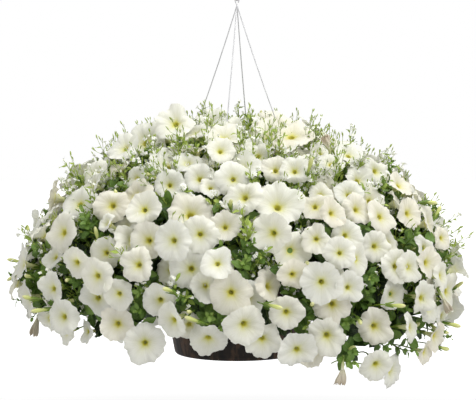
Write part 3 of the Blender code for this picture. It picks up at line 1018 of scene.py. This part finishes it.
# How many natural ones are tried for, and how close they may stand to each other.
BLOOMS, DEEP_BLOOMS, BLOOM_SPACING = 270, 50, 35 * MM
BUDS, BUD_SPACING = 140, 40 * MM
SHOOTS, SHOOT_SPACING = 520, 26 * MM
LEAVES, LEAF_SPACING = 1600, 12 * MM
INNER_LEAVES, INNER_SPACING = 1500, 13 * MM
SPRIGS, SPRIG_SPACING = 760, 12 * MM


def front_places(table):
    return [front_place(x * MM, z * MM) for x, z in table]


def facing_front(turn, lift):
    """The direction at a turn to the right of straight ahead, lifted upwards, in degrees."""
    turn, lift = math.radians(turn), math.radians(lift)
    return Vector((math.sin(turn) * math.cos(lift), -math.cos(turn) * math.cos(lift), math.sin(lift)))


def natural_direction(angle, down):
    """Outwards: well up near the canopy's top, a little down at its hem, and wandering."""
    outward = Vector((math.cos(angle), math.sin(angle), 0))
    lift = math.radians(56 - 68 * down)
    ahead = outward * math.cos(lift) + UP * math.sin(lift)
    return (ahead + canopy_normal(angle, down) * 0.4 + wander(0.42)).normalized()


def choose_bloom(bed, angle, down, size, sinks, direction=None):
    """The matrix of a bloom near a place, out of several, that crosses the fewest others."""
    best = None
    for _ in range(BLOOM_TRIES):
        ahead = direction or natural_direction(angle, down)
        point = canopy_point(angle, down) - canopy_normal(angle, down) * between(*sinks)
        matrix = facing(point + wander(4 * MM), ahead + wander(0.06), between(0, TAU), size)
        dish = Dish(matrix, BLOOM_R * size)
        clashes = bed.clashes(dish)
        if best is None or clashes < best[0]:
            best = (clashes, matrix, dish)
        if clashes == 0:
            break
    bed.append(best[2])
    return best[1]


def stalk(matrix, base_z, normal, length, droop, radii, sides):
    """The stalk from the base of a bloom or bud back into the plant; length and droop are in mm."""
    ahead = (matrix.to_3x3() @ UP).normalized()
    base = matrix @ Vector((0, 0, base_z))
    inside = base - normal * length * MM - UP * between(0, droop) * MM
    path = bowed(base, base - ahead * 18 * MM, inside, len(radii))
    return tube(path, radii, sides, "green", 0.5)


def hem_limit(angle, size):
    """How far down the canopy a bloom of this size may stand and still end at its hanging edge."""
    height = WIDEST_Z - lowest_z(angle)
    return 1 - (1 - DOME_SHARE) * min((BLOOM_R * size - HEM_ROOM) / height, 0.6)


def clumps(angle, down):
    """How thickly blooms stand: in clumps with gaps between, thickest on top, thin at the hem."""
    patchy = noise.noise(canopy_point(angle, down) * CLUMPING) * 1.6 + (0.95 if down < 0.42 else 0.5)
    return min(max(patchy, 0.1), 1) * (0.55 if down > 0.72 else 1)


def tiered_growths():
    return {(tier, side): Growth() for tier in TIERS for side in SIDES}


def build_tiers(kind, growths):
    for (tier, side), growth in growths.items():
        growth.build(f"petunia_{kind}_{tier}_{side}", "petunia_growth", stands_for(tier, side))


def grow_blooms(bed):
    """The open blooms: the listed ones, then natural ones between them, then some deeper down."""
    open_shapes = [bloom_shape(GROWING) for _ in range(12)]
    cupped_shapes = [bloom_shape(GROWING, CUPPED_SPREAD, CUPPED_RISE) for _ in range(4)]
    radii = tapered(1.2 * MM, 0.9 * MM, 6)
    growths = tiered_growths()
    places = []

    def grow(angle, down, size, sinks, direction=None, shapes=open_shapes):
        matrix = choose_bloom(bed, angle, down, size, sinks, direction)
        growth = growths[tier_of(down), side_of(angle, SIDES)]
        tint = GROWING.random()
        growth.add(GROWING.choice(shapes), matrix, tint)
        normal = canopy_normal(angle, down)
        growth.add([stalk(matrix, -TUBE_LENGTH, normal, 42, 18, radii, 6)], tint=tint)
        places.append((angle, down))

    for x, z, width, turn, lift in FRONT_BLOOMS:
        angle, down = front_place(x * MM, z * MM)
        size = FRONT_SCALE * width * MM / (2 * BLOOM_R)
        grow(angle, min(down, 1), size, FRONT_SINKS, facing_front(turn, lift))
    taken = places + front_places(FRONT_SHOOTS)
    for angle, down in spread_over(BLOOMS, BLOOM_SPACING, clumps, taken):
        size = between(0.72, 1.25) * (1.2 if down < 0.35 else 1)
        shapes = cupped_shapes if GROWING.random() < 0.15 else open_shapes
        grow(angle, min(down, hem_limit(angle, size)), size, NATURAL_SINKS, shapes=shapes)
    for angle, down in spread_over(DEEP_BLOOMS, BLOOM_SPACING, clumps, taken):
        size = between(0.70, 1.0)
        grow(angle, min(down, hem_limit(angle, size)), size, DEEP_SINKS)
    build_tiers("blooms", growths)


def in_room(points):
    """True if points stay in the room round the CAD box that soft growth may use."""
    low, high = np.array(CAD_BOX[0]) - SPARE_ROOM, np.array(CAD_BOX[1]) + SPARE_ROOM
    return (points >= low).all() and (points <= high).all()


def place_clear(bed, shapes, angle, down, depths, lean, spread, tries=5, width=DISH_WIDTH):
    """A shape and its matrix near a place, out of a few tries, that passes through no bloom.

    It stands at one of the depths, straight out plus lean, and wanders from that by spread.
    """
    for _ in range(tries):
        normal = canopy_normal(angle, down)
        ahead = (normal + lean + wander(spread)).normalized()
        point = canopy_point(angle, down) - normal * between(*depths)
        matrix = facing(point, ahead, between(0, TAU))
        shape = GROWING.choice(shapes)
        points = points_of(shape, matrix)
        if in_room(points) and bed.crossings(points, width) == 0:
            return shape, matrix
        angle, down = angle + between(-0.04, 0.04), min(max(down + between(-0.02, 0.02), 0), 1)
    return None


# Buds and withered blooms that stand out at the front: the kind, then as for the blooms.
FRONT_BUDS = [
    ("bud", -51, -583, -60, 20), ("bud", 38, -552, 70, -10), ("bud", -88, -537, -70, 30),
    ("bud", 105, -362, 30, 55), ("bud", 300, -407, 82, 4), ("bud", 323, -640, 85, -20),
    ("bud", 333, -602, 84, -8), ("bud", -313, -560, -80, 4), ("bud", -290, -573, -76, -4),
    ("bud", 226, -560, 80, -4), ("spent", 158, -655, -15, -75), ("spent", 330, -560, 70, -60),
    ("spent", 150, -318, -30, 60),
]
BUD_SCALE, SPENT_SCALE = 1.1, 0.8


def grow_buds(bed):
    """Buds and withered blooms: the listed ones, then natural ones. A withered one hangs down."""
    buds = [bud_shape(GROWING) for _ in range(8)]
    spent = [spent_bloom_shape(GROWING) for _ in range(4)]
    growths = {side: Growth() for side in SIDES}
    found = []
    for kind, x, z, turn, lift in FRONT_BUDS:
        angle, down = front_place(x * MM, z * MM)
        down = min(down, 1)
        point = canopy_point(angle, down) - canopy_normal(angle, down) * 4 * MM
        shapes, scale = (buds, BUD_SCALE) if kind == "bud" else (spent, SPENT_SCALE)
        matrix = facing(point, facing_front(turn, lift), between(0, TAU), scale)
        found.append((angle, down, GROWING.choice(shapes), matrix))
    for angle, down in spread_over(BUDS, BUD_SPACING):
        shapes, lean, depths = buds, UP * 0.35, (14 * MM, 34 * MM)
        if GROWING.random() < 0.07 and math.sin(angle) > -0.7:
            shapes, lean, depths = spent, -UP * 0.9, (14 * MM, 30 * MM)
        placed = place_clear(bed, shapes, angle, down, depths, lean, 0.5)
        if placed:
            found.append((angle, down, *placed))
    for number, (angle, down, shape, matrix) in enumerate(found):
        stem = stalk(matrix, 0, canopy_normal(angle, down), 50, 15, [1.0 * MM] * 6, 5)
        if number >= len(FRONT_BUDS) and bed.crossings(stem.points):
            continue
        growth = growths[side_of(angle, SIDES)]
        tint = GROWING.random()
        growth.add(shape, matrix, tint)
        growth.add([stem], tint=tint)
    for side, growth in growths.items():
        nodes = f"petunia_mound_{side}", f"petunia_trail_{side}"
        growth.build(f"petunia_buds_{side}", "petunia_growth", *nodes)


def above_hem(angle, down):
    return down < 0.92


def grow_leaves(bed):
    """Leafy shoots between the blooms, single leaves, and dark ones inside that fill the depth, their
    darkness painted shade.
    """
    shoots = [shoot_shape(GROWING) for _ in range(10)]
    singles = [[leaf(GROWING, between(18, 29) * MM, age=between(0.1, 0.7))] for _ in range(16)]
    # Inner leaves have no age and get low tints below, so they come out near black: painted shade.
    inner = [[leaf(GROWING, between(40, 55) * MM, age=0.0)] for _ in range(8)]
    growths = tiered_growths()

    def grow(shapes, places, depths, lean, spread, tints):
        for angle, down in places:
            found = place_clear(bed, shapes, angle, down, depths, lean, spread)
            if found:
                # Leaves in the upper half of the canopy get a larger tint, so they come out lighter
                # towards its top.
                tint = between(*tints) + max(0.5 - down, 0) * 0.8
                growths[tier_of(down), side_of(angle, SIDES)].add(*found, tint)

    grow(shoots, front_places(FRONT_SHOOTS), (38 * MM, 50 * MM), UP * 0.2, 0.2, (0.1, 0.6))
    places = spread_over(SHOOTS, SHOOT_SPACING, above_hem)
    grow(shoots, places, (38 * MM, 66 * MM), UP * 0.3, 0.4, (0.0, 0.6))
    places = spread_over(LEAVES, LEAF_SPACING, above_hem)
    grow(singles, places, (24 * MM, 54 * MM), UP * 0.0, 0.7, (0.0, 0.8))
    # Painted shade: the inner leaves take tints near 0, the darkest end of the leaf ramp.
    places = spread_over(INNER_LEAVES, INNER_SPACING, above_hem)
    grow(inner, places, (60 * MM, 88 * MM), UP * 0.0, 1.2, (0.0, 0.15))
    build_tiers("leaves", growths)


CROWN_R = 98 * MM
BRANCHES = 20


def crown_at(degrees):
    """Where a plant's crown stands in the growing medium."""
    turn = math.radians(degrees)
    return Vector((CROWN_R * math.cos(turn), CROWN_R * math.sin(turn), MEDIUM_TOP - 2 * MM))


def grow_branches():
    """The woody stems, from each plant's crown over the rim or up, out to its part of the canopy."""
    for side, degrees in SIDES.items():
        growth = Growth()
        crown = crown_at(degrees)
        for i in range(BRANCHES):
            angle = math.radians(degrees + between(-30, 30))
            down = 0.1 + 0.85 * (i + 0.5) / BRANCHES
            tip = canopy_point(angle, down) - canopy_normal(angle, down) * 45 * MM
            bend = crown.lerp(tip, 0.45)
            bend.z = max(bend.z, RIM_Z + 60 * MM)
            start = crown + Vector((between(-8, 8), between(-8, 8), 0)) * MM
            path = bowed(start, bend, tip, 14)
            growth.add([tube(path, tapered(2.6 * MM, 1.1 * MM, 14), 8, "green", 0.2)])
        growth.build(f"petunia_branches_{side}", "green_stems", f"petunia_stems_{side}")


# Where fine sprigs stand out at the front: across and up, in mm.
FRONT_SPRIGS = [
    (12, -455), (20, -480), (-5, -470), (30, -500), (-175, -365), (-150, -370), (-130, -360),
    (-195, -350), (-280, -415), (-30, -330), (-10, -335), (20, -330), (45, -340), (75, -345),
    (100, -350), (110, -380), (-90, -360), (-110, -340), (170, -370), (210, -380), (230, -400),
    (250, -520), (235, -540), (285, -430), (-320, -500), (-300, -570), (180, -590), (110, -640),
    (-230, -620), (330, -600), (-55, -330), (0, -320),
]


# The part of the canopy that counts as its crown for the sprigs, and how deep their feet sit.
CROWN_END = 0.45
CROWN_FEET = (72 * MM, 102 * MM)
SIDE_FEET = (78 * MM, 106 * MM)
FRONT_FEET = (60 * MM, 84 * MM)


def sprig_share(angle, down):
    """How thickly sprigs stand: thick over the crown and thin below it."""
    if down < 0.35:
        return 1.0
    return 0.6 if down < 0.5 else 0.26


def grow_fillers(bed):
    """The filler's sprigs: the listed ones, then natural ones. In the crown they may stand closer
    to blooms, and only their green parts have to clear them.
    """
    leafy = [sprig_shape(GROWING, 0.15) for _ in range(6)]
    flowering = [sprig_shape(GROWING, 0.75) for _ in range(8)]
    greens = {side: Growth() for side in FILLER_SIDES}
    flowers = {side: Growth() for side in FILLER_SIDES}
    listed = front_places(FRONT_SPRIGS)
    for angle, down in listed + spread_over(SPRIGS, SPRIG_SPACING, sprig_share):
        pairs = flowering if GROWING.random() < 0.65 else leafy
        down = min(down, 1)
        in_crown = down < CROWN_END
        depths, width = (CROWN_FEET, 0.45) if in_crown else (SIDE_FEET, 0.7)
        if (angle, down) in listed:
            depths = FRONT_FEET
        shapes = [green if in_crown else green + blossom for green, blossom in pairs]
        found = place_clear(bed, shapes, angle, down, depths, UP * 0.9, 0.22, 12, width)
        if not found:
            continue
        shape, matrix = found
        green, blossom = pairs[shapes.index(shape)]
        side = side_of(angle, FILLER_SIDES)
        tint = GROWING.random()
        greens[side].add(green, matrix, tint)
        flowers[side].add(blossom, matrix, tint)
    for side in FILLER_SIDES:
        nodes = f"filler_mound_{side}", f"filler_stems_{side}"
        greens[side].build(f"filler_sprigs_{side}", "filler_growth", *nodes)
        flowers[side].build(f"filler_flowers_{side}", "filler_growth", f"filler_mound_{side}")


def grow_all():
    bed = Bed()
    grow_blooms(bed)
    grow_buds(bed)
    grow_leaves(bed)
    grow_branches()
    grow_fillers(bed)


# -------- materials of the CAD nodes


def finish_node(name, material):
    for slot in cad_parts[name].material_slots:
        slot.material = material


def finish_hardware():
    # Painted shade: the hook and link get a much darker copy of the zinc-coated wire than the strands.
    hook_wire = wire_material("hook_wire", (0.16, 0.17, 0.16), (0.30, 0.31, 0.30), 0.6)
    strand_wire = wire_material("galvanised_wire", (0.42, 0.42, 0.43), (0.57, 0.57, 0.58), 0.5)
    for name in ("hook", "gather_link"):
        finish_node(name, hook_wire)
    for number in range(1, 5):
        finish_node(f"hanger_strand_{number}", strand_wire)
    finish_node("pot", pot_material())
    finish_node("growing_medium", medium_material())


# -------- camera, light and floor

CAMERA_PLACE = (0.0017, -2.3, -0.3135)
CAMERA_PITCH = 2.4
CAMERA_LENS = 102.3
SENSOR_WIDTH = 36
# The lights, all turned to LIT_POINT: name, place, width in metres and power in watts.
LIGHTS = [
    ("key", (2.2, -2.1, 1.7), 2.2, 62),
    ("overhead", (0.3, -0.4, 1.8), 2.4, 54),
    ("fill", (-2.6, -2.0, 0.0), 2.0, 15),
]
LIT_POINT = Vector((0, 0, -0.5))
WORLD_LIGHT = 0.38
FLOOR_Z = -1.5
FLOOR_SIDES = 48
FLOOR_RADII = (0.0001, 1, 3, 8, 40)
FLOOR_GREY = 0.72
# Where the floor starts to brighten, and where it is as white as the background.
GLOW_START, GLOW_END = 2.0, 6.0


def set_camera():
    data = bpy.data.cameras.new("camera")
    data.lens = CAMERA_LENS
    data.sensor_width = SENSOR_WIDTH
    camera = new_object("camera", data)
    camera.location = CAMERA_PLACE
    camera.rotation_euler = (math.radians(90 - CAMERA_PITCH), 0, 0)
    bpy.context.scene.camera = camera


def area_light(name, place, width, power):
    data = bpy.data.lights.new(name, "AREA")
    data.shape = "DISK"
    data.size = width
    data.energy = power
    light = new_object(name, data)
    light.location = place
    light.rotation_euler = (LIT_POINT - light.location).to_track_quat("-Z", "Y").to_euler()


def set_world():
    """White behind the object, and a softer white on everything that it lights."""
    world = bpy.data.worlds.new("studio")
    world.use_nodes = True
    bpy.context.scene.world = world
    wiring = Nodes(world.node_tree)
    background = world.node_tree.nodes["Background"]
    wiring.feed(background.inputs["Color"], (1, 1, 1))
    seen = wiring.node("LightPath").outputs["Is Camera Ray"]
    strength = wiring.plus(wiring.times(seen, 1 - WORLD_LIGHT), WORLD_LIGHT)
    wiring.feed(background.inputs["Strength"], strength)


def floor_material():
    """A pale grey that glows more and more with the distance from the middle."""
    made = Recipe("pale_floor", 0.9)
    made.put("Base Color", (FLOOR_GREY, FLOOR_GREY, FLOOR_GREY))
    made.put("Emission Color", (1, 1, 1))
    distance = made.node("VectorMath")
    distance.operation = "LENGTH"
    made.feed(distance.inputs[0], made.node("TexCoord").outputs["Object"])
    glow = made.node("MapRange")
    glow.interpolation_type = "SMOOTHSTEP"
    for name, value in (("From Min", GLOW_START), ("From Max", GLOW_END), ("To Max", 1.0)):
        made.feed(glow.inputs[name], value)
    made.feed(glow.inputs["Value"], distance.outputs["Value"])
    made.put("Emission Strength", glow.outputs["Result"])
    return made.material


def lay_floor():
    """A pale round floor that brightens outwards until it meets the white background."""
    angles = full_turn(FLOOR_SIDES)
    points = [(r * math.cos(t), r * math.sin(t), FLOOR_Z) for r in FLOOR_RADII for t in angles]
    faces = grid_faces(len(FLOOR_RADII), FLOOR_SIDES, True)[:, ::-1]
    mesh = bpy.data.meshes.new("floor")
    mesh.from_pydata(points, [], faces.tolist())
    mesh.materials.append(floor_material())
    floor = new_object("floor", mesh)


def set_studio():
    set_camera()
    for light in LIGHTS:
        area_light(*light)
    set_world()
    lay_floor()
    bpy.context.scene.view_settings.view_transform = "Standard"


grow_all()
finish_hardware()
set_studio()
